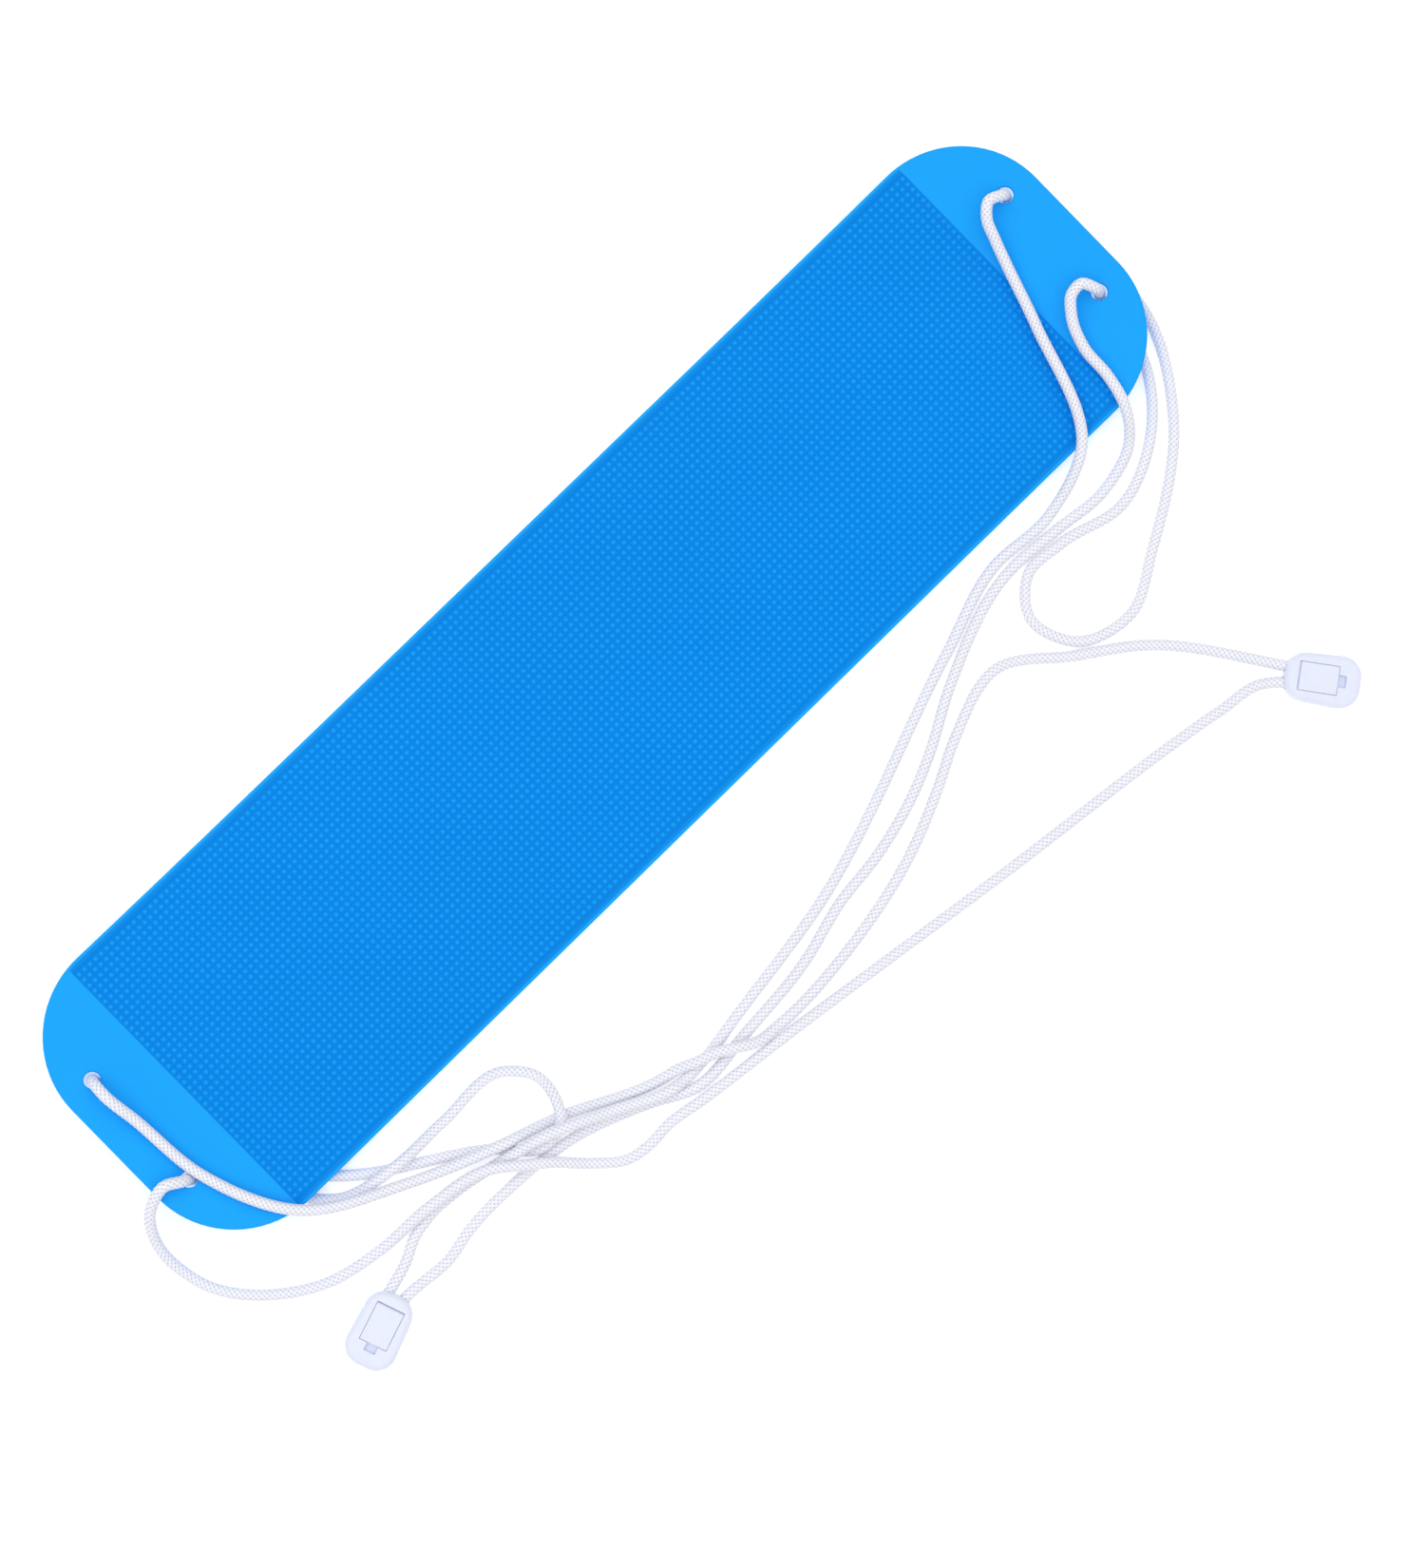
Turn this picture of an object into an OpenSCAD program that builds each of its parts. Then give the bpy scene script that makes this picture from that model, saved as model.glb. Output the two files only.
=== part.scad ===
// Thin flexible float board with a nubbed top, two threaded pull cords and two hinged cord-end clips.
// The board's length runs along X, its width along Y, and it lies on z = 0.

/* [Board] */
// Length of the board, tip to tip
board_l = 550; // [500:5:700]
// Width of the board
board_w = 136; // [120:2:200]
// Thickness of the sheet, without the nubs
board_t = 4; // [3:0.5:6]
// Radius of the four corners in plan
corner_r = 43.5; // [30:0.5:60]
// Half length of the flat middle, where the ends begin to curl up
flat_half = 120; // [100:5:150]
// Radius that the underside of the curled ends follows
curl_r = 900; // [800:50:1200]

/* [Cord holes] */
// Distance of the holes from the middle of the board
hole_x = 261; // [255:0.5:262]
// Distance of the holes from the centre line
hole_y = 28; // [26:0.5:30]
// Diameter of the holes
hole_d = 7; // [6.5:0.1:8]

/* [Cords] */
// Diameter of the braided cord
cord_d = 5; // [4:0.1:5]
// Number of sides of the plain cord tubes
cord_sides = 10; // [8:1:12]
// Longest step between two rings of a cord tube
ring_step = 40; // [20:1:40]

/* [Cord clips] */
// Length of a clip from its mouth to its round end
clip_l = 32; // [30:1:40]
// Width of a clip at its round end
clip_w = 22; // [21:0.5:24]
// Width of a clip at its mouth
mouth_w = 20.5; // [19:0.5:21]
// Height of a clip
clip_h = 9.5; // [9.5:0.5:12]
// Corner radius of a clip in plan
clip_corner_r = 8.5; // [7:0.5:9]
// Radius that rounds a clip's upper and lower edges
clip_edge_r = 2.5; // [1.5:0.5:2.5]
// Distance between the two cord channels
channel_gap = 7; // [6:0.5:8]
// Diameter of a cord channel
channel_d = 5.2; // [5.2:0.1:5.6]
// Depth of the channels, from the mouth to their end wall
channel_l = 19; // [17:1:21]
// Height of the channels' middle line
channel_z = 3.9; // [3.9:0.1:4.2]
// Width of the lid plate
lid_w = 12; // [11:0.5:12]
// Thickness of the lid plate
lid_t = 1.6; // [1.4:0.1:1.8]
// Distance of the lid's hinge axis from the mouth
hinge_x = 7; // [7:0.5:7.5]
// Height of the lid's hinge axis
hinge_z = 8; // [8:0.1:8.4]
// Distance of the lid's free edge from the mouth
lid_end_x = 22; // [20:1:24]
// Diameter of the lid's hinge pins
pin_d = 1.6; // [1.4:0.1:1.8]
// Width of the finger slot behind the lid's free edge
slot_w = 5; // [4:1:6]
// Length of the finger slot
slot_l = 3.4; // [3:0.2:4]

/* [Hidden] */
eps = 0.01;
board_blue = [0.10, 0.58, 0.98];
cord_white = [0.95, 0.95, 0.98];
clip_white = [0.90, 0.91, 0.96];
curl_angle = 30;
tall = 60;
hole_mid_r = curl_r - board_t / 2;
hole_angle = asin((hole_x - flat_half) / hole_mid_r);
hole_mid_z = curl_r - hole_mid_r * cos(hole_angle);
lid_gap = 0.12;
pin_gap = 0.05;
pin_reach = 1.2;
pin_end_gap = 0.1;
slot_depth = 2.4;
barrel_r = clip_h - hinge_z;
bridge_gap = 0.2;
bend_r = 1.9 * cord_d;
bend_up = bend_r * sin(45);
bend_in = bend_r - bend_up;
bridge_x = hinge_x - barrel_r - bridge_gap;
tooth_w = 3.6;
tooth_l = 1;
tooth_xs = [9.5, 12.5, 15.5];
tooth_low_z = channel_z + cord_d / 2 + 0.05;

// Where each clip lies: the middle of its mouth, and the way that it points
clip_a_at = [-234.3, -120.7];
clip_a_turn = 199;
clip_b_at = [206.4, -195.4];
clip_b_turn = -53;

// A point of a clip, from its distance from the mouth, its side and its height
function clip_point(at, turn, x, y, z) =
    [at.x + x * cos(turn) - y * sin(turn), at.y + x * sin(turn) + y * cos(turn), z];
function channel_end(at, turn, side) =
    clip_point(at, turn, channel_l, side * channel_gap / 2, channel_z);
function channel_mouth(at, turn, side) =
    clip_point(at, turn, 0, side * channel_gap / 2, channel_z);

// The arc of a cord from the top of the board down through a hole to the surface beneath.
// It comes over the board from the direction top_turn and leaves below it towards under_turn.
function hole_pass(x, y, top_turn, under_turn) = [
    [x + bend_r * cos(top_turn), y + bend_r * sin(top_turn), hole_mid_z + bend_r],
    [x + bend_in * cos(top_turn), y + bend_in * sin(top_turn), hole_mid_z + bend_up],
    [x, y, hole_mid_z],
    [x + bend_in * cos(under_turn), y + bend_in * sin(under_turn), hole_mid_z - bend_up],
    [x + bend_r * cos(under_turn), y + bend_r * sin(under_turn), hole_mid_z - bend_r]
];
function reversed(list) = [for (i = [len(list) - 1:-1:0]) list[i]];

// Cord A: from clip A along the bundle, over the board's +X end, down one hole, round the slack
// loop, up the other hole and back to clip A
route_a = concat(
    [channel_end(clip_a_at, clip_a_turn, -1), channel_mouth(clip_a_at, clip_a_turn, -1)],
    [
        [-223.5, -114, 3.2], [-213, -109, 2.6], [-201.5, -107, 2.6], [-189, -107.5, 2.6],
        [-172, -110.5, 3.6], [-160, -113.2, 8.6], [-150, -115.5, 12], [-139, -119.5, 13.2],
        [-118, -129.5, 8], [-97, -139.3, 7.2], [-89.5, -140.6, 4], [-80, -140.3, 2.6],
        [-54, -136.5, 2.6], [-2, -128.5, 2.6], [111, -91, 2.6], [150, -79, 2.6],
        [182, -79.9, 2.6], [209, -70, 12.2], [232, -19, 14.8], [240.5, 7.5, 16.8],
        [243.5, 17.5, 19.6], [247, 26.5, 22.2]
    ],
    hole_pass(hole_x, hole_y, 165, -70),
    [
        [271, -5, 2.6], [271, -50, 2.6], [249, -87, 2.6], [203, -120.5, 2.6], [178, -133, 2.6],
        [153.5, -125, 2.6], [146.5, -105, 2.6], [158.5, -91.5, 2.6], [178, -91.8, 2.6],
        [207.5, -98, 2.6], [239, -84, 2.6], [257, -61, 2.6]
    ],
    reversed(hole_pass(hole_x, -hole_y, 126, -88)),
    [
        [250.4, -20.6, 22.2], [244.6, -26.5, 19.6], [239.5, -40, 16], [238.5, -55.5, 15.3],
        [235.5, -68, 14.8], [226.5, -82, 6], [206, -88.5, 2.6], [180, -86.3, 2.6],
        [153, -85, 2.6], [104, -101, 2.6], [75, -116.5, 2.6], [61, -122.5, 2.6],
        [31.5, -130.5, 2.6], [8, -133.5, 2.6], [-22, -141, 2.6], [-58, -144.5, 2.6],
        [-88, -146.3, 2.6], [-108, -136.8, 2.6], [-139.5, -125.5, 2.6], [-170, -122, 2.6],
        [-194.5, -122.5, 2.6], [-211.5, -125.5, 2.6], [-222.5, -124.5, 3]
    ],
    [channel_mouth(clip_a_at, clip_a_turn, 1), channel_end(clip_a_at, clip_a_turn, 1)]
);

// Cord B: from clip B along the bundle, over the board's -X end, down one hole, round the slack
// loop, up the other hole, round the tip of the board and back to clip B
route_b = concat(
    [channel_end(clip_b_at, clip_b_turn, 1), channel_mouth(clip_b_at, clip_b_turn, 1)],
    [
        [203, -184, 3], [174, -147, 2.6], [149, -129, 2.6], [121.5, -110, 2.6],
        [89, -118.5, 2.6], [70, -128, 2.6], [44, -139, 2.6], [-2, -149.5, 2.6],
        [-46, -151.8, 2.6], [-57, -150.5, 5.6], [-66, -145.5, 8.4], [-75, -140.5, 8.3],
        [-81, -138.6, 7.8], [-88, -135.7, 5.3], [-98, -133.2, 2.7], [-139, -114.5, 2.6],
        [-161, -107, 7.8], [-200, -91, 9], [-238, -68, 15.4], [-256, -30, 17],
        [-259.5, 5, 19.5]
    ],
    hole_pass(-hole_x, hole_y, -90, -86),
    [
        [-250, -15, 2.6], [-222, -65, 2.6], [-166.5, -104.8, 2.6], [-149, -119.5, 6.2],
        [-138.5, -117.5, 8.2], [-133, -109, 6.4], [-132, -97, 2.6], [-140.5, -86, 2.6],
        [-172.5, -83.5, 2.8], [-199, -82.7, 8.8], [-222, -77.5, 3], [-246, -47, 2.6]
    ],
    reversed(hole_pass(-hole_x, -hole_y, 150, -52)),
    [
        [-279, -25.5, 19.5], [-289, -39, 9], [-288, -60, 2.6], [-252, -97, 2.6],
        [-226, -103, 2.8], [-202, -104, 7.8], [-172, -110.5, 11], [-160, -119.8, 10],
        [-153, -125.5, 7.8], [-140.5, -138.5, 2.6], [-129, -147.5, 2.6], [-118.5, -149.5, 2.6],
        [-107.5, -149, 2.6], [-90, -151.7, 2.6], [-46, -157.2, 2.6], [60, -172, 2.6],
        [178, -188, 2.6], [196, -191.5, 2.8]
    ],
    [channel_mouth(clip_b_at, clip_b_turn, -1), channel_end(clip_b_at, clip_b_turn, -1)]
);

// The way of a route at each of its points, from the two legs that meet there. Its slope is held
// back so that a cord on the floor stays on the floor.
function held(m, a, b) = a * b <= 0 ? 0 : sign(m) * min(abs(m), 3 * abs(a), 3 * abs(b));
function leg(route, i) = (route[i + 1] - route[i]) / norm(route[i + 1] - route[i]);
function joined(a, b, la, lb) = [
    (a.x * lb + b.x * la) / (la + lb),
    (a.y * lb + b.y * la) / (la + lb),
    held((a.z * lb + b.z * la) / (la + lb), a.z, b.z)
];
function way(route, i) =
    i == 0 ? leg(route, 0) :
    i == len(route) - 1 ? leg(route, i - 1) :
    joined(leg(route, i - 1), leg(route, i),
        norm(route[i] - route[i - 1]), norm(route[i + 1] - route[i]));

// A point of the smooth curve between points i and i + 1 of a route, t of the way along
function along(route, i, t) =
    let (h = norm(route[i + 1] - route[i]))
    (2 * t ^ 3 - 3 * t ^ 2 + 1) * route[i] + (t ^ 3 - 2 * t ^ 2 + t) * h * way(route, i)
    + (3 * t ^ 2 - 2 * t ^ 3) * route[i + 1] + (t ^ 3 - t ^ 2) * h * way(route, i + 1);
function steps(route, i) = max(1, ceil(norm(route[i + 1] - route[i]) / ring_step));
function curve(route) = concat(
    [for (i = [0:len(route) - 2]) for (k = [0:steps(route, i) - 1]) along(route, i, k / steps(route, i))],
    [route[len(route) - 1]]
);

// The rings of a tube lean halfway between the pieces that they join, and don't twist
function unit(v) = v / norm(v);
function middle_way(line, i) = unit(
    (i == 0 ? [0, 0, 0] : unit(line[i] - line[i - 1]))
    + (i == len(line) - 1 ? [0, 0, 0] : unit(line[i + 1] - line[i]))
);
function square_to(v, w) = unit(v - (v * w) * w);
function sides(line, i, last) = let (
        s = square_to(last, middle_way(line, i))
    ) i == len(line) - 1 ? [s] : concat([s], sides(line, i + 1, s));
function ring(at, side, way) = [
    for (k = [0:cord_sides - 1]) let (a = 360 * k / cord_sides)
        at + cord_d / 2 * (cos(a) * side + sin(a) * cross(way, side))
];

module tube(route) {
    line = curve(route);
    side = sides(line, 0, cross([0, 0, 1], middle_way(line, 0)));
    rings = [for (i = [0:len(line) - 1]) each ring(line[i], side[i], middle_way(line, i))];
    n = cord_sides;
    walls = [
        for (i = [0:len(line) - 2]) for (k = [0:n - 1])
            let (a = i * n + k, b = i * n + (k + 1) % n)
                each [[a, b + n, b], [a, a + n, b + n]]
    ];
    ends = [[for (k = [0:n - 1]) k], [for (k = [n - 1:-1:0]) (len(line) - 1) * n + k]];
    polyhedron(rings, concat(walls, ends));
}

// The round ended plan of the board, as a tall block
module board_plan() {
    translate([0, 0, -tall / 2])
        linear_extrude(tall)
            union() {
                square([board_l - 2 * corner_r, board_w], center = true);
                square([board_l, board_w - 2 * corner_r], center = true);
                for (x = [-1, 1])
                    for (y = [-1, 1])
                        translate([x * (board_l / 2 - corner_r), y * (board_w / 2 - corner_r)])
                            circle(r = corner_r, $fn = 96);
            }
}

// One curled end of the sheet, as an arc about an axis above the board
module curled_end() {
    translate([flat_half, 0, curl_r])
        rotate([90, 0, 0])
            rotate([0, 0, -90])
                translate([0, 0, -board_w])
                    rotate_extrude(angle = curl_angle, $fn = 360)
                        translate([curl_r - board_t, 0])
                            square([board_t, 2 * board_w]);
}

module cord_hole() {
    translate([flat_half, 0, curl_r])
        rotate([0, -hole_angle, 0])
            translate([0, 0, -curl_r - board_t])
                cylinder(d = hole_d, h = 3 * board_t, $fn = 48);
}

module board() {
    color(board_blue)
        difference() {
            intersection() {
                board_plan();
                union() {
                    translate([-flat_half, -board_w, 0])
                        cube([2 * flat_half, 2 * board_w, board_t]);
                    curled_end();
                    mirror([1, 0, 0])
                        curled_end();
                }
            }
            for (side = [-hole_y, hole_y])
                translate([0, side, 0]) {
                    cord_hole();
                    mirror([1, 0, 0])
                        cord_hole();
                }
        }
}

module cord_a() {
    color(cord_white)
        tube(route_a);
}

module cord_b() {
    color(cord_white)
        tube(route_b);
}

// A clip in its own frame: mouth at x = 0, round end at +X, standing on z = 0
module at_clip(at, turn) {
    translate([at.x, at.y, 0])
        rotate([0, 0, turn])
            children();
}

// One rounded corner of the clip's pebble shape
module clip_corner(x, y) {
    translate([x, y, clip_h / 2])
        rotate_extrude($fn = 32)
            intersection() {
                offset(r = clip_edge_r, $fn = 20)
                    square([2 * (clip_corner_r - clip_edge_r), clip_h - 2 * clip_edge_r], center = true);
                translate([0, -clip_h])
                    square([clip_corner_r, 2 * clip_h]);
            }
}

module clip_pebble() {
    hull()
        for (side = [-1, 1]) {
            clip_corner(clip_corner_r, side * (mouth_w / 2 - clip_corner_r));
            clip_corner(clip_l - clip_corner_r, side * (clip_w / 2 - clip_corner_r));
        }
}

module clip_body() {
    color(clip_white)
        difference() {
            clip_pebble();
            for (side = [-1, 1])
                translate([0, side * channel_gap / 2, channel_z]) {
                    translate([-1, 0, 0])
                        rotate([0, 90, 0])
                            cylinder(d = channel_d, h = channel_l + 1, $fn = 40);
                    translate([bridge_x, -channel_d / 2, 0])
                        cube([channel_l - bridge_x, channel_d, clip_h]);
                }
            translate([bridge_x, -lid_w / 2 - lid_gap, clip_h - lid_t])
                cube([lid_end_x + lid_gap - bridge_x, lid_w + 2 * lid_gap, clip_h]);
            translate([bridge_x, -lid_w / 2 - lid_gap, hinge_z - barrel_r - lid_gap])
                cube([2 * (hinge_x - bridge_x), lid_w + 2 * lid_gap, clip_h]);
            translate([hinge_x, 0, hinge_z])
                rotate([90, 0, 0])
                    cylinder(d = pin_d + 2 * pin_gap, h = lid_w + 2 * (pin_reach + pin_end_gap),
                        center = true, $fn = 32);
            translate([lid_end_x - tooth_l, -slot_w / 2, clip_h - slot_depth])
                cube([slot_l + tooth_l, slot_w, clip_h]);
        }
}

module clip_lid() {
    color(clip_white)
        union() {
            translate([hinge_x, -lid_w / 2, clip_h - lid_t])
                cube([lid_end_x - hinge_x, lid_w, lid_t]);
            translate([hinge_x, 0, hinge_z])
                rotate([90, 0, 0]) {
                    cylinder(r = barrel_r, h = lid_w, center = true, $fn = 32);
                    cylinder(d = pin_d, h = lid_w + 2 * pin_reach, center = true, $fn = 32);
                }
            for (x = tooth_xs)
                for (side = [-1, 1])
                    translate([x, side * channel_gap / 2 - tooth_w / 2, tooth_low_z])
                        cube([tooth_l, tooth_w, clip_h - lid_t - tooth_low_z + eps]);
        }
}

module clip_a_body() {
    at_clip(clip_a_at, clip_a_turn)
        clip_body();
}

module clip_a_lid() {
    at_clip(clip_a_at, clip_a_turn)
        clip_lid();
}

module clip_b_body() {
    at_clip(clip_b_at, clip_b_turn)
        clip_body();
}

module clip_b_lid() {
    at_clip(clip_b_at, clip_b_turn)
        clip_lid();
}

board();
cord_a();
cord_b();
clip_a_body();
clip_a_lid();
clip_b_body();
clip_b_lid();
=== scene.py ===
"""The looks of the kickboard float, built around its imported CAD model.

The board is one closed mesh with its nubs, holes and rounded edges. The two cords are braided tubes that
follow the routes of part.scad, and the four clip pieces are softened copies of their CAD solids.
Lengths are in millimetres up to the point where a mesh is made, and in metres after it.
"""

from math import asin, ceil, cos, hypot, pi, radians, sin, sqrt

import bpy
import numpy as np
from mathutils import Matrix, Vector


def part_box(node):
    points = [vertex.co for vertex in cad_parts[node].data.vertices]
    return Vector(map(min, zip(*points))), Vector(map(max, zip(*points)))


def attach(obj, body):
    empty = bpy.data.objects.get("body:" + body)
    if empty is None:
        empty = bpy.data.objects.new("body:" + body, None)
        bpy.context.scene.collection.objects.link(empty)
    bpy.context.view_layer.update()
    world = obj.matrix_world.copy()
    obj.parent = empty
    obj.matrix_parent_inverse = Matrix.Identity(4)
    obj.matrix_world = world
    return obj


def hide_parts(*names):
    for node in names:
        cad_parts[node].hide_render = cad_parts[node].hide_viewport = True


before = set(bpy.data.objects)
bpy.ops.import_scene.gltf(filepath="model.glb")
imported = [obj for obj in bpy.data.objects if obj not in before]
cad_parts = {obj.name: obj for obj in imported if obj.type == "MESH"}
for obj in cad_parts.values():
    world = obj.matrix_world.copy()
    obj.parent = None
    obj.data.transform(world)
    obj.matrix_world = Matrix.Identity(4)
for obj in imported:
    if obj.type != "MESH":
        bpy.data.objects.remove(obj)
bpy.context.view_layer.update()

MM = 0.001
ROOT = "board_and_cords"
CLIPS = ("clip_a", "clip_b")

# The board, as part.scad has it
board_low, board_high = (np.array(corner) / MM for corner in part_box("board"))
BOARD_L = board_high[0] - board_low[0]
BOARD_W = board_high[1] - board_low[1]
BOARD_T = 4.0
CORNER_R = 43.5
FLAT_HALF = 120.0
CURL_R = 900.0
HOLE_X = 261.0
HOLE_Y = 28.0
HOLE_D = 7.0

# The board's visual detail
NUB_HALF_X = 237.0
NUB_HALF_Y = 64.0
NUBS_X = 156
NUBS_Y = 42
NUB_R = 1.0
NUB_TOP_R = 0.5
NUB_H = 0.6
# The share of the nub tips' painted highlight that a nub's foot takes
NUB_FOOT_HIGHLIGHT = 0.35
# The share of the nub field's painted shade at the field's rim points, and how sharply that shade fades in
RIM_FIELD_SHADE = 0.93
FIELD_SHADE_FADE = 6.0
TAB_LINES = 18
EDGE_R = 1.3
EDGE_STEPS = 4
HOLE_EDGE_R = 0.5
HOLE_COLLAR = 1.1
HOLE_PATCH = 3

# The cords and clips, as part.scad has them
CORD_D = 5.0
CLIP_A_AT, CLIP_A_TURN = (-234.3, -120.7), 199.0
CLIP_B_AT, CLIP_B_TURN = (206.4, -195.4), -53.0
CHANNEL_GAP = 7.0
CHANNEL_L = 19.0
CHANNEL_Z = 3.9
HOLE_BEND_R = 1.9 * CORD_D
SLOPE_HOLD = 3
FINE_STEP = 0.4

# The round braid: strands each way round, the length in which they move on by one, and mesh points to each
STRANDS = 6
PICK_L = 2.2
STRAND_POINTS = 4
STRAND_H = 0.55
STRAND_WAVE = 0.17
STRAND_ROUND = 0.85
YARNS = 5
# Narrows the painted shade in the grooves between the strands to the deepest of them
GROOVE_SHADE_FADE = 0.35
# Keeps the mesh points that lie on a border between two strands on one side of it
BORDER_NUDGE = 1e-9

# The clips' softened mouldings
MOULDING_VOXEL = 0.19
MOULDING_SMOOTHING = 5

# The studio
FLOOR_HALF = 30000
FLOOR_GLOW = 0.32
SKY_BASE = 0.2
SKY_RISE = 1.1


# ---------------------------------------------------------------------------------------------- helpers


def make_object(name, points, faces, material, smooth=True):
    """A mesh object from points in millimetres."""
    mesh = bpy.data.meshes.new(name)
    mesh.from_pydata((np.asarray(points) * MM).tolist(), [], faces)
    mesh.polygons.foreach_set("use_smooth", [smooth] * len(mesh.polygons))
    mesh.materials.append(material)
    mesh.update()
    obj = bpy.data.objects.new(name, mesh)
    bpy.context.collection.objects.link(obj)
    return obj


def point_values(obj, name, values):
    """A value for each point of the mesh, which the material reads by its name."""
    attribute = obj.data.attributes.new(name, "FLOAT", "POINT")
    attribute.data.foreach_set("value", np.asarray(values, dtype=np.float32))


class Nodes:
    """A short way to write a material's nodes."""

    def __init__(self, name):
        self.material = bpy.data.materials.new(name)
        self.material.use_nodes = True
        self.tree = self.material.node_tree
        self.shader = self.tree.nodes["Principled BSDF"]

    def add(self, kind, inputs=(), **settings):
        node = self.tree.nodes.new(kind)
        for key, value in settings.items():
            setattr(node, key, value)
        for key, value in dict(inputs).items():
            self.put(node, key, value)
        return node

    def put(self, node, key, value):
        if isinstance(value, bpy.types.NodeSocket):
            self.tree.links.new(value, node.inputs[key])
        else:
            node.inputs[key].default_value = value

    def math(self, operation, *values):
        return self.add("ShaderNodeMath", dict(enumerate(values)), operation=operation).outputs[0]

    def mix(self, factor, a, b):
        node = self.add("ShaderNodeMix", data_type="RGBA")
        self.put(node, 0, factor)
        self.put(node, 6, a)
        self.put(node, 7, b)
        return node.outputs[2]

    def noise(self, scale, detail=2.0):
        where = self.add("ShaderNodeTexCoord").outputs["Object"]
        inputs = {"Scale": scale, "Detail": detail, "Vector": where}
        return self.add("ShaderNodeTexNoise", inputs).outputs["Fac"]

    def value(self, name):
        return self.add("ShaderNodeAttribute", attribute_name=name).outputs["Fac"]

    def bump(self, height, distance, strength):
        inputs = {"Height": height, "Distance": distance, "Strength": strength}
        self.put(self.shader, "Normal", self.add("ShaderNodeBump", inputs).outputs["Normal"])


# ---------------------------------------------------------------------------------------------- camera


def place_camera(place, target, up, lens):
    """The photo's camera, nearly straight above the board."""
    camera = bpy.data.objects.new("camera", bpy.data.cameras.new("camera"))
    bpy.context.collection.objects.link(camera)
    back = (Vector(place) - Vector(target)).normalized()
    right = Vector(up).cross(back).normalized()
    turn = Matrix((right, back.cross(right), back)).transposed()
    camera.matrix_world = Matrix.Translation(place) @ turn.to_4x4()
    camera.data.sensor_fit = "HORIZONTAL"
    camera.data.sensor_width = 36.0
    camera.data.lens = lens
    bpy.context.scene.camera = camera


place_camera(
    place=(-0.127, -0.049, 1.5946), target=(0.0038, -0.0618, 0.0), up=(0.6968, 0.7154, 0.0515), lens=97.85
)


# ---------------------------------------------------------------------------------------------- materials


def board_material():
    """Soft blue moulding of one colour, with painted light: a paler smooth skin (painted sheen), a darker
    nub field (painted shade between the nubs) and a painted highlight on the nub tips.
    """
    # One blue throughout: the darker nub field is painted shade between the nubs, the paler smooth skin
    # carries a painted sheen, and the nub tips get a painted highlight
    skin_with_painted_sheen = (0.012, 0.385, 0.97, 1.0)
    field_with_painted_shade = (0.0, 0.212, 0.73, 1.0)
    tip_painted_highlight = (0.008, 0.38, 1.0, 1.0)
    nodes = Nodes("board_blue")
    # field sets the nub field's painted shade, tip the nub tips' painted highlight
    field = nodes.math("MULTIPLY_ADD", nodes.value("field"), FIELD_SHADE_FADE, 1 - FIELD_SHADE_FADE)
    tip = nodes.value("tip")
    cloud = nodes.math("MULTIPLY_ADD", nodes.noise(9.0, 3.0), 0.10, 0.95)
    skin = nodes.mix(field, skin_with_painted_sheen, field_with_painted_shade)
    lit = nodes.mix(tip, skin, tip_painted_highlight)
    tinted = nodes.add("ShaderNodeVectorMath", {0: lit}, operation="SCALE")
    nodes.put(tinted, "Scale", cloud)
    nodes.put(nodes.shader, "Base Color", tinted.outputs[0])
    nodes.put(nodes.shader, "Roughness", nodes.math("MULTIPLY_ADD", nodes.noise(300.0), 0.12, 0.42))
    nodes.shader.inputs["Specular IOR Level"].default_value = 0.04
    nodes.bump(nodes.noise(1800.0), 0.00002, 0.5)
    return nodes.material


def cord_material():
    """White braid: fine yarns along each strand, with painted shade in the gaps between the strands."""
    crown = (0.93, 0.94, 1.0, 1.0)
    # The grey-violet is painted shade for the grooves between the strands
    groove_painted_shade = (0.42, 0.42, 0.62, 1.0)
    lint = (0.97, 0.97, 1.0, 1.0)
    nodes = Nodes("cord_braid")
    uv = nodes.add("ShaderNodeSeparateXYZ", {0: nodes.add("ShaderNodeUVMap", uv_map="braid").outputs["UV"]})
    a = nodes.math("ADD", uv.outputs["X"], uv.outputs["Y"])
    b = nodes.math("SUBTRACT", uv.outputs["X"], uv.outputs["Y"])
    cell = nodes.math("ADD", nodes.math("FLOOR", a), nodes.math("FLOOR", b))
    over = nodes.math("FLOORED_MODULO", cell, 2.0)
    across = nodes.add("ShaderNodeMix", {0: over, 2: a, 3: b}).outputs[0]
    yarn = nodes.math("SINE", nodes.math("MULTIPLY", across, 2 * pi * YARNS))
    # gap is how deep a point lies between the strands; it sets the painted shade there
    groove_shade = nodes.value("groove_shade")
    fuzz = nodes.noise(900.0, 3.0)
    white = nodes.mix(groove_shade, crown, groove_painted_shade)
    soft = nodes.mix(nodes.math("MULTIPLY", fuzz, 0.2), white, lint)
    nodes.put(nodes.shader, "Base Color", soft)
    nodes.put(nodes.shader, "Roughness", nodes.math("MULTIPLY_ADD", fuzz, 0.2, 0.6))
    nodes.shader.inputs["Sheen Weight"].default_value = 0.25
    nodes.bump(nodes.math("MULTIPLY_ADD", fuzz, 0.6, nodes.math("MULTIPLY", yarn, 0.5)), 0.00004, 0.7)
    return nodes.material


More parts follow.
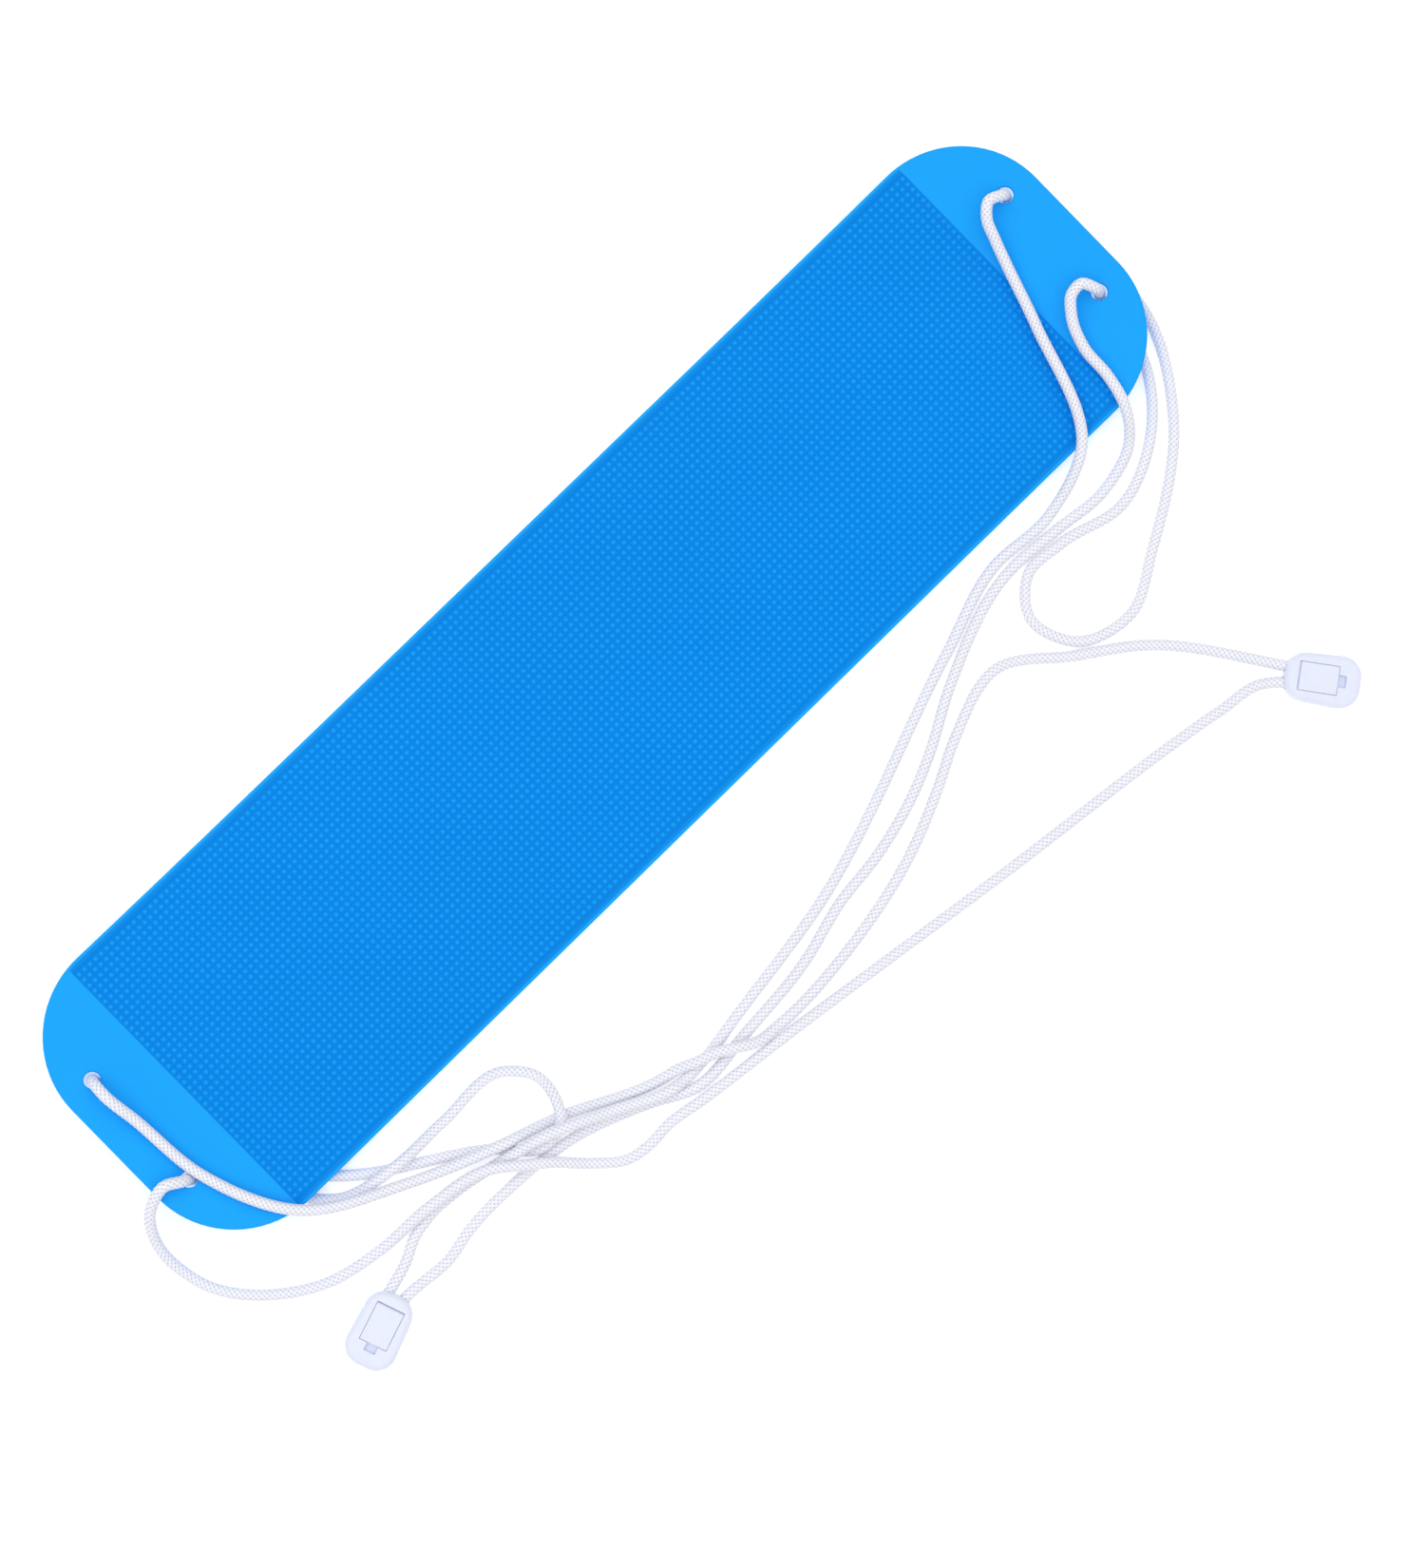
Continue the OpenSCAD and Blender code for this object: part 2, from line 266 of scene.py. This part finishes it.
def clip_material():
    """White moulded plastic with a faint violet tint and a fine satin grain."""
    nodes = Nodes("clip_plastic")
    cloud = nodes.noise(120.0, 3.0)
    tint = nodes.mix(cloud, (0.76, 0.80, 0.98, 1.0), (0.81, 0.85, 1.0, 1.0))
    nodes.put(nodes.shader, "Base Color", tint)
    nodes.put(nodes.shader, "Roughness", nodes.math("MULTIPLY_ADD", nodes.noise(700.0), 0.15, 0.30))
    nodes.shader.inputs["Subsurface Weight"].default_value = 0.3
    nodes.shader.inputs["Subsurface Scale"].default_value = 0.001
    nodes.bump(nodes.noise(2500.0), 0.00001, 0.5)
    return nodes.material


def floor_material():
    """A white sweep with a little light of its own, so that the ground stays white."""
    nodes = Nodes("floor_white")
    speck = nodes.math("MULTIPLY_ADD", nodes.noise(4.0), 0.02, 0.93)
    grey = nodes.add("ShaderNodeCombineColor", {0: speck, 1: speck, 2: speck}).outputs[0]
    nodes.put(nodes.shader, "Base Color", grey)
    nodes.shader.inputs["Roughness"].default_value = 0.9
    nodes.shader.inputs["Emission Color"].default_value = (1.0, 1.0, 1.0, 1.0)
    nodes.shader.inputs["Emission Strength"].default_value = FLOOR_GLOW
    return nodes.material


# ---------------------------------------------------------------------------------------------- cords


def clip_point(at, turn, x, y, z):
    """A point of a clip, from its distance from the mouth, its side and its height."""
    c, s = cos(radians(turn)), sin(radians(turn))
    return [at[0] + x * c - y * s, at[1] + x * s + y * c, z]


def channel(at, turn, side):
    """The end and the mouth of one of a clip's two cord channels."""
    return [clip_point(at, turn, x, side * CHANNEL_GAP / 2, CHANNEL_Z) for x in (CHANNEL_L, 0.0)]


def hole_pass(x, y, top_turn, under_turn):
    """The arc of a cord from the top of the board down through a hole to the surface beneath."""
    r = HOLE_BEND_R
    up = r * sin(radians(45))
    mid_r = CURL_R - BOARD_T / 2
    z = CURL_R - mid_r * cos(asin((HOLE_X - FLAT_HALF) / mid_r))

    def out(turn, reach, rise):
        return [x + reach * cos(radians(turn)), y + reach * sin(radians(turn)), z + rise]

    above = [out(top_turn, r, r), out(top_turn, r - up, up)]
    return above + [[x, y, z], out(under_turn, r - up, -up), out(under_turn, r, -r)]


def route_a():
    """Cord A, from clip A through the holes at the +X end and back, as part.scad has it."""
    return (
        channel(CLIP_A_AT, CLIP_A_TURN, -1)
        + [
            [-223.5, -114, 3.2], [-213, -109, 2.6], [-201.5, -107, 2.6], [-189, -107.5, 2.6],
            [-172, -110.5, 3.6], [-160, -113.2, 8.6], [-150, -115.5, 12], [-139, -119.5, 13.2],
            [-118, -129.5, 8], [-97, -139.3, 7.2], [-89.5, -140.6, 4], [-80, -140.3, 2.6],
            [-54, -136.5, 2.6], [-2, -128.5, 2.6], [111, -91, 2.6], [150, -79, 2.6],
            [182, -79.9, 2.6], [209, -70, 12.2], [232, -19, 14.8], [240.5, 7.5, 16.8],
            [243.5, 17.5, 19.6], [247, 26.5, 22.2],
        ]
        + hole_pass(HOLE_X, HOLE_Y, 165, -70)
        + [
            [271, -5, 2.6], [271, -50, 2.6], [249, -87, 2.6], [203, -120.5, 2.6], [178, -133, 2.6],
            [153.5, -125, 2.6], [146.5, -105, 2.6], [158.5, -91.5, 2.6], [178, -91.8, 2.6],
            [207.5, -98, 2.6], [239, -84, 2.6], [257, -61, 2.6],
        ]
        + hole_pass(HOLE_X, -HOLE_Y, 126, -88)[::-1]
        + [
            [250.4, -20.6, 22.2], [244.6, -26.5, 19.6], [239.5, -40, 16], [238.5, -55.5, 15.3],
            [235.5, -68, 14.8], [226.5, -82, 6], [206, -88.5, 2.6], [180, -86.3, 2.6],
            [153, -85, 2.6], [104, -101, 2.6], [75, -116.5, 2.6], [61, -122.5, 2.6],
            [31.5, -130.5, 2.6], [8, -133.5, 2.6], [-22, -141, 2.6], [-58, -144.5, 2.6],
            [-88, -146.3, 2.6], [-108, -136.8, 2.6], [-139.5, -125.5, 2.6], [-170, -122, 2.6],
            [-194.5, -122.5, 2.6], [-211.5, -125.5, 2.6], [-222.5, -124.5, 3],
        ]
        + channel(CLIP_A_AT, CLIP_A_TURN, 1)[::-1]
    )


def route_b():
    """Cord B, from clip B through the holes at the -X end and back, as part.scad has it."""
    return (
        channel(CLIP_B_AT, CLIP_B_TURN, 1)
        + [
            [203, -184, 3], [174, -147, 2.6], [149, -129, 2.6], [121.5, -110, 2.6],
            [89, -118.5, 2.6], [70, -128, 2.6], [44, -139, 2.6], [-2, -149.5, 2.6],
            [-46, -151.8, 2.6], [-57, -150.5, 5.6], [-66, -145.5, 8.4], [-75, -140.5, 8.3],
            [-81, -138.6, 7.8], [-88, -135.7, 5.3], [-98, -133.2, 2.7], [-139, -114.5, 2.6],
            [-161, -107, 7.8], [-200, -91, 9], [-238, -68, 15.4], [-256, -30, 17],
            [-259.5, 5, 19.5],
        ]
        + hole_pass(-HOLE_X, HOLE_Y, -90, -86)
        + [
            [-250, -15, 2.6], [-222, -65, 2.6], [-166.5, -104.8, 2.6], [-149, -119.5, 6.2],
            [-138.5, -117.5, 8.2], [-133, -109, 6.4], [-132, -97, 2.6], [-140.5, -86, 2.6],
            [-172.5, -83.5, 2.8], [-199, -82.7, 8.8], [-222, -77.5, 3], [-246, -47, 2.6],
        ]
        + hole_pass(-HOLE_X, -HOLE_Y, 150, -52)[::-1]
        + [
            [-279, -25.5, 19.5], [-289, -39, 9], [-288, -60, 2.6], [-252, -97, 2.6],
            [-226, -103, 2.8], [-202, -104, 7.8], [-172, -110.5, 11], [-160, -119.8, 10],
            [-153, -125.5, 7.8], [-140.5, -138.5, 2.6], [-129, -147.5, 2.6], [-118.5, -149.5, 2.6],
            [-107.5, -149, 2.6], [-90, -151.7, 2.6], [-46, -157.2, 2.6], [60, -172, 2.6],
            [178, -188, 2.6], [196, -191.5, 2.8],
        ]
        + channel(CLIP_B_AT, CLIP_B_TURN, -1)[::-1]
    )


def centreline(route, step):
    """The smooth curve of part.scad through a route's points, in even steps of about the given length."""
    points = np.array(route, dtype=float)
    legs = np.diff(points, axis=0)
    spans = np.linalg.norm(legs, axis=1)
    way = legs / spans[:, None]
    ways = [way[0]]
    for i in range(1, len(points) - 1):
        near, far = way[i - 1], way[i]
        joined = (near * spans[i] + far * spans[i - 1]) / (spans[i] + spans[i - 1])
        if near[2] * far[2] <= 0:
            joined[2] = 0.0
        else:
            steepest = SLOPE_HOLD * min(abs(near[2]), abs(far[2]))
            joined[2] = np.sign(joined[2]) * min(abs(joined[2]), steepest)
        ways.append(joined)
    ways.append(way[-1])
    fine = []
    for i, h in enumerate(spans):
        t = np.linspace(0, 1, ceil(h / FINE_STEP) + 1)[:-1, None]
        fine.append(
            (2 * t**3 - 3 * t**2 + 1) * points[i] + (t**3 - 2 * t**2 + t) * h * ways[i]
            + (3 * t**2 - 2 * t**3) * points[i + 1] + (t**3 - t**2) * h * ways[i + 1]
        )
    fine = np.vstack(fine + [points[-1:]])
    run = np.concatenate([[0], np.cumsum(np.linalg.norm(np.diff(fine, axis=0), axis=1))])
    even = np.linspace(0, run[-1], round(run[-1] / step) + 1)
    return np.stack([np.interp(even, run, fine[:, k]) for k in range(3)], axis=1), run[-1]


def untwisted(line):
    """Two directions across the line at each of its points, which don't turn about it."""
    way = np.gradient(line, axis=0)
    way /= np.linalg.norm(way, axis=1)[:, None]
    side = np.cross([0, 0, 1], way[0])
    sides = []
    for w in way:
        side = side - side.dot(w) * w
        side /= np.linalg.norm(side)
        sides.append(side)
    sides = np.array(sides)
    return sides, np.cross(way, sides)


def strand_height(a, b):
    """How high the braid stands at strand coordinates a and b, in millimetres."""
    i, j = np.floor(a), np.floor(b)
    wave_a = STRAND_WAVE * np.cos(pi * (b - 0.5 - i))
    wave_b = -STRAND_WAVE * np.cos(pi * (a - 0.5 - j))
    crown_a = STRAND_H * np.sqrt(1 - STRAND_ROUND * (2 * (a - i) - 1) ** 2)
    crown_b = STRAND_H * np.sqrt(1 - STRAND_ROUND * (2 * (b - j) - 1) ** 2)
    return np.maximum(wave_a + crown_a, wave_b + crown_b)


def braided_cord(name, route, material):
    """A braided tube, with STRAND_POINTS points round it and along it for each strand of the braid."""
    line, length = centreline(route, PICK_L / STRAND_POINTS)
    across, up = untwisted(line)
    rings, around = len(line), STRAND_POINTS * STRANDS
    k, m = np.meshgrid(np.arange(rings), np.arange(around), indexing="ij")
    a, b = (m + k) / STRAND_POINTS, (m - k) / STRAND_POINTS
    height = strand_height(a + BORDER_NUDGE, b + BORDER_NUDGE)
    peak = STRAND_H + STRAND_WAVE
    radius = (CORD_D / 2 - peak + height)[:, :, None]
    angle = (2 * pi * m / around)[:, :, None]
    points = line[:, None] + radius * (np.cos(angle) * across[:, None] + np.sin(angle) * up[:, None])
    here = (k[:-1] * around + m[:-1]).ravel()
    beside = (k[:-1] * around + (m[:-1] + 1) % around).ravel()
    faces = np.stack([here, beside, beside + around, here + around], axis=1).tolist()
    faces.append(list(range(around))[::-1])
    faces.append(list(range((rings - 1) * around, rings * around)))
    cord = make_object(name, points.reshape(-1, 3), faces, material)
    # How deep each point lies between the strands, which sets the painted shade in the grooves
    groove_shade = 1 - (height - height.min()) / (height.max() - height.min())
    point_values(cord, "groove_shade", np.clip(groove_shade * (1 + GROOVE_SHADE_FADE) - GROOVE_SHADE_FADE, 0, 1).ravel())
    u = np.stack([m[:-1], m[:-1] + 1, m[:-1] + 1, m[:-1]], axis=-1) / STRAND_POINTS
    v = np.stack([k[:-1], k[:-1], k[:-1] + 1, k[:-1] + 1], axis=-1) / STRAND_POINTS
    uv = np.zeros((len(cord.data.loops), 2), dtype=np.float32)
    uv[: u.size] = np.stack([u.ravel(), v.ravel()], axis=1)
    cord.data.uv_layers.new(name="braid").data.foreach_set("uv", uv.ravel())
    return cord, line, length


def make_cords(mouldings):
    """Both cords. The clips are made first; mouldings is not used."""
    material = cord_material()
    ends = {"cord_a": (route_a(), "clip_a"), "cord_b": (route_b(), "clip_b")}
    for node, (route, clip) in ends.items():
        cord, line, length = braided_cord(node + "_braid", route, material)
        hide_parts(node)
        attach(cord, ROOT)


# ---------------------------------------------------------------------------------------------- board


def bent(x, y, h):
    """A point of the curled board, from its place in plan and its height over the top surface."""
    mid_r = CURL_R - BOARD_T / 2
    beyond = np.maximum(np.abs(x) - FLAT_HALF, 0)
    angle = np.arcsin(beyond / mid_r)
    r = CURL_R - BOARD_T - h
    curled_x = np.sign(x) * (FLAT_HALF + r * np.sin(angle))
    curled_z = CURL_R - r * np.cos(angle)
    flat = beyond == 0
    return np.stack([np.where(flat, x, curled_x), y, np.where(flat, BOARD_T + h, curled_z)], axis=-1)


def half_width(x, inset):
    """Half the width of the board's outline at x, drawn in by inset."""
    over = max(abs(x) - (BOARD_L / 2 - CORNER_R), 0)
    r = CORNER_R - inset
    return BOARD_W / 2 - CORNER_R + sqrt(max(r * r - over * over, 0))


class BoardMesh:
    """Collects the points and faces of the board."""

    def __init__(self):
        self.places = []
        # For each point: how much of the nub field's painted shade and of the nub tips' painted highlight
        # it takes
        self.field = []
        self.tip = []
        self.faces = []

    def point(self, x, y, h, field=0.0, tip=0.0):
        self.places.append((x, y, h))
        self.field.append(field)
        self.tip.append(tip)
        return len(self.places) - 1

    def band(self, first, second):
        """Quads between two closed loops of as many points."""
        n = len(first)
        for i in range(n):
            self.faces.append([first[i], first[(i + 1) % n], second[(i + 1) % n], second[i]])


def board_lines():
    """The x places of the lines of the board's grid, from tip to tip."""
    nub_x = np.linspace(-NUB_HALF_X, NUB_HALF_X, NUBS_X + 1)
    corner_x = BOARD_L / 2 - CORNER_R
    r = CORNER_R - EDGE_R
    start = asin((NUB_HALF_X - corner_x) / r)
    turns = np.linspace(start, pi / 2, TAB_LINES + 1)[1:]
    tab = corner_x + r * np.sin(turns)
    return np.concatenate([-tab[::-1], nub_x, tab])


def add_nub(mesh, corners, x, y):
    """One cell of the nub field: a hexagonal dome that grows out of the skin."""

    def loop(r, h, tip):
        return [mesh.point(x + r * cos(i * pi / 3), y + r * sin(i * pi / 3), h, 1, tip) for i in range(6)]

    # The nub's foot takes part of the painted highlight, its top all of it
    foot = loop(NUB_R, 0, NUB_FOOT_HIGHLIGHT)
    top = loop(NUB_TOP_R, NUB_H, 1)
    sw, se, ne, nw = corners
    mesh.faces += [
        [se, ne, foot[0]], [ne, foot[1], foot[0]], [ne, nw, foot[2], foot[1]], [nw, foot[3], foot[2]],
        [nw, sw, foot[3]], [sw, foot[4], foot[3]], [sw, se, foot[5], foot[4]], [se, foot[0], foot[5]],
    ]
    mesh.band(foot, top)
    mesh.faces.append(top)


def patch_rim(i, j):
    """The grid points round the square patch of cells about a hole, in order."""
    side = range(-HOLE_PATCH, HOLE_PATCH)
    rim = [(i + a, j - HOLE_PATCH) for a in side]
    rim += [(i + HOLE_PATCH, j + a) for a in side]
    rim += [(i - a, j + HOLE_PATCH) for a in side]
    rim += [(i - HOLE_PATCH, j - a) for a in side]
    return rim


def add_hole(mesh, grid, xs, hole):
    """Leads the rim of the cells left out about a hole in to its round mouth, and down its wall."""
    x, y = hole
    i = min(range(len(xs)), key=lambda i: abs(xs[i] - x))
    row = [mesh.places[p][1] for p in grid[i]]
    j = min(range(len(row)), key=lambda j: abs(row[j] - y))
    rim = patch_rim(i, j)
    last = [grid[a][b] for a, b in rim]
    n = len(rim)
    wall = HOLE_D / 2
    turns = (0, pi / 6, pi / 3, pi / 2)
    round_off = [(HOLE_EDGE_R * (1 - sin(t)), HOLE_EDGE_R * (1 - cos(t))) for t in turns]
    rings = [(wall + HOLE_COLLAR, 0.0)]
    rings += [(wall + out, -down) for out, down in round_off]
    rings += [(wall + out, -BOARD_T + down) for out, down in round_off[::-1]]
    for r, h in rings:
        loop = []
        for k in range(n):
            t = 2 * pi * (k - n / 8) / n - pi / 2
            loop.append(mesh.point(x + r * cos(t), y + r * sin(t), h))
        mesh.band(last, loop)
        last = loop
    cells = range(-HOLE_PATCH, HOLE_PATCH)
    return rim, last, {(i + a, j + b) for a in cells for b in cells}


def make_board():
    """The nubbed sheet as one closed mesh: its top, underside, holes and rounded outline."""
    mesh = BoardMesh()
    xs = board_lines()
    nub_y = np.linspace(-NUB_HALF_Y, NUB_HALF_Y, NUBS_Y + 1)
    first_nub = int(np.argmin(abs(xs + NUB_HALF_X)))
    last_nub = first_nub + NUBS_X

    def row(i, h, between):
        """The points across the board at grid line i, which in the nub field may be its ends alone."""
        x, in_field = xs[i], first_nub <= i <= last_nub
        rim = half_width(x, EDGE_R)
        if in_field:
            ys = np.concatenate([[-rim], nub_y, [rim]]) if between else [-rim, rim]
        else:
            edge = half_width(NUB_HALF_X, EDGE_R)
            ys = np.concatenate([[-edge], nub_y, [edge]]) * rim / edge
        return [mesh.point(x, y, h) for y in ys]

    top = [row(i, 0.0, True) for i in range(len(xs))]
    under = [row(i, -BOARD_T, False) for i in range(len(xs))]
    columns = len(top[0])

    left_out = set()
    for side_x in (-1, 1):
        for side_y in (-1, 1):
            rim, mouth, cells = add_hole(mesh, top, xs, (side_x * HOLE_X, side_y * HOLE_Y))
            mesh.band(mouth, [under[a][b] for a, b in rim])
            left_out |= cells

    for i in range(len(xs) - 1):
        for j in range(columns - 1):
            if (i, j) in left_out:
                continue
            cell = [top[i][j], top[i + 1][j], top[i + 1][j + 1], top[i][j + 1]]
            if first_nub <= i < last_nub and 1 <= j < columns - 2:
                add_nub(mesh, cell, (xs[i] + xs[i + 1]) / 2, (nub_y[j - 1] + nub_y[j]) / 2)
            else:
                mesh.faces.append(cell)
    # The nub field takes the full painted shade, the points at its rim a share of it
    for i in range(first_nub, last_nub + 1):
        mesh.field[top[i][0]] = mesh.field[top[i][-1]] = RIM_FIELD_SHADE
        for j in range(1, columns - 1):
            mesh.field[top[i][j]] = 1.0

    for i in range(len(xs) - 1):
        if len(under[i]) == 2 or len(under[i + 1]) == 2:
            mesh.faces.append(under[i] + under[i + 1][::-1])
            continue
        for j in range(columns - 1):
            if (i, j) not in left_out:
                mesh.faces.append([under[i][j], under[i][j + 1], under[i + 1][j + 1], under[i + 1][j]])

    def outline(rows):
        """The points all round a grid of rows, in order."""
        loop = [r[0] for r in rows]
        loop += rows[-1][1:-1]
        loop += [r[-1] for r in rows[::-1]]
        loop += rows[0][-2:0:-1]
        return loop

    upper, lower = outline(top), outline(under)
    corner_x, corner_y = BOARD_L / 2 - CORNER_R, BOARD_W / 2 - CORNER_R
    turns = np.linspace(0, pi / 2, EDGE_STEPS + 1)[1:]
    profile = [(EDGE_R * sin(t), -EDGE_R * (1 - cos(t))) for t in turns]
    profile += [(out, -BOARD_T - h) for out, h in profile[::-1]]
    last = upper
    for out, h in profile:
        loop = []
        for p in upper:
            x, y, _ = mesh.places[p]
            away = (max(abs(x) - corner_x, 0) * np.sign(x), max(abs(y) - corner_y, 0) * np.sign(y))
            size = hypot(*away)
            loop.append(mesh.point(x + out * away[0] / size, y + out * away[1] / size, h))
        mesh.band(loop, last)
        last = loop
    mesh.band(lower, last)

    x, y, h = np.array(mesh.places).T
    board = make_object("board_skin", bent(x, y, h), mesh.faces, board_material())
    # The painted shade of the nub field and the painted highlight of the nub tips, for the material
    point_values(board, "field", mesh.field)
    point_values(board, "tip", mesh.tip)
    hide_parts("board")
    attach(board, ROOT)


# ---------------------------------------------------------------------------------------------- clips


def softened(name, node, material):
    """A copy of a CAD solid with the softly rounded edges of a moulding."""
    obj = bpy.data.objects.new(name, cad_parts[node].data.copy())
    bpy.context.collection.objects.link(obj)
    remesh = obj.modifiers.new("remesh", "REMESH")
    remesh.mode = "VOXEL"
    remesh.voxel_size = MOULDING_VOXEL * MM
    smooth = obj.modifiers.new("smooth", "SMOOTH")
    smooth.factor = 0.5
    smooth.iterations = MOULDING_SMOOTHING
    mesh = bpy.data.meshes.new_from_object(obj.evaluated_get(bpy.context.evaluated_depsgraph_get()))
    obj.modifiers.clear()
    obj.data = mesh
    mesh.materials.clear()
    mesh.materials.append(material)
    mesh.polygons.foreach_set("use_smooth", [True] * len(mesh.polygons))
    mesh.polygons.foreach_set("material_index", [0] * len(mesh.polygons))
    return obj


def make_clips():
    """The clips' mouldings, by clip."""
    material = clip_material()
    mouldings = {clip: [] for clip in CLIPS}
    for clip in CLIPS:
        for part, body in (("body", ROOT), ("lid", clip + "_lid")):
            node = f"{clip}_{part}"
            piece = softened(node + "_moulding", node, material)
            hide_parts(node)
            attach(piece, body)
            mouldings[clip].append(piece)
    return mouldings


# ---------------------------------------------------------------------------------------------- studio


def area_light(name, place, target, size, power):
    light = bpy.data.objects.new(name, bpy.data.lights.new(name, "AREA"))
    bpy.context.collection.objects.link(light)
    light.location = place
    light.rotation_euler = (Vector(target) - Vector(place)).to_track_quat("-Z", "Y").to_euler()
    light.data.size = size
    light.data.energy = power


def make_studio():
    """A white floor, a sky that is brighter overhead, and one large soft light."""
    corners = [[x * FLOOR_HALF, y * FLOOR_HALF, 0] for x, y in ((-1, -1), (1, -1), (1, 1), (-1, 1))]
    floor = make_object("floor", corners, [[0, 1, 2, 3]], floor_material(), smooth=False)
    world = bpy.data.worlds.new("studio")
    world.use_nodes = True
    tree = world.node_tree
    background = tree.nodes["Background"]
    background.inputs["Color"].default_value = (1.0, 1.0, 1.0, 1.0)
    direction = tree.nodes.new("ShaderNodeTexCoord")
    height = tree.nodes.new("ShaderNodeSeparateXYZ")
    strength = tree.nodes.new("ShaderNodeMath")
    strength.operation = "MULTIPLY_ADD"
    strength.inputs[1].default_value = SKY_RISE
    strength.inputs[2].default_value = SKY_BASE
    tree.links.new(direction.outputs["Generated"], height.inputs[0])
    tree.links.new(height.outputs["Z"], strength.inputs[0])
    tree.links.new(strength.outputs[0], background.inputs["Strength"])
    bpy.context.scene.world = world
    bpy.context.scene.view_settings.view_transform = "Standard"
    area_light("key_light", place=(-0.6, 0.5, 2.4), target=(0, 0, 0), size=2.5, power=9)


make_cords(make_clips())
make_board()
make_studio()
